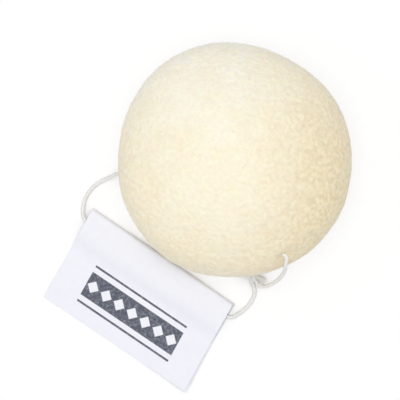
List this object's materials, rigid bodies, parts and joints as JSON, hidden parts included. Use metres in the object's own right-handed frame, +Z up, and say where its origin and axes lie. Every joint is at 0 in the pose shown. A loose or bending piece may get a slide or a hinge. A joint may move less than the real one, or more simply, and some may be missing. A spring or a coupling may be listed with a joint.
{
  "type": "konjac sponge",
  "caption": "Plump round konjac face sponge with a flat base, threaded on a knotted cotton hanging cord that carries a folded paper tag.",
  "frame": {"origin": "middle of the sponge's flat base, on the surface that it stands on", "axes": "+Z up through the sponge's crown, +X along the tag's fold to the right as the tag is read, -Y from the sponge towards the tag"},
  "size_m": [0.08, 0.1149, 0.042],
  "materials": {
    "konjac_foam": "matte",
    "cotton_cord": "matte",
    "label_card": "matte"
  },
  "bodies": {
    "sponge": {"sponge_body": "konjac_foam"},
    "cord_loop": {"cord_through_sponge": "cotton_cord", "cord_right_stretch": "cotton_cord", "cord_knot": "cotton_cord", "cord_lower_stretch": "cotton_cord", "cord_in_tag": "cotton_cord", "cord_left_stretch": "cotton_cord"},
    "tag": {"tag_label": "label_card"}
  },
  "joints": [
    {"name": "loop_lift", "type": "hinge", "parent": "sponge", "child": "cord_loop", "pos_m": [0.002, -0.0205, 0.0153], "axis": [-0.9476, -0.1313, -0.2913], "range_deg": [0, 80]},
    {"name": "tag_swing", "type": "hinge", "parent": "cord_loop", "child": "tag", "pos_m": [-0.0014, -0.045, 0.00135], "axis": [-1, 0, 0], "range_deg": [0, 80]}
  ]
}
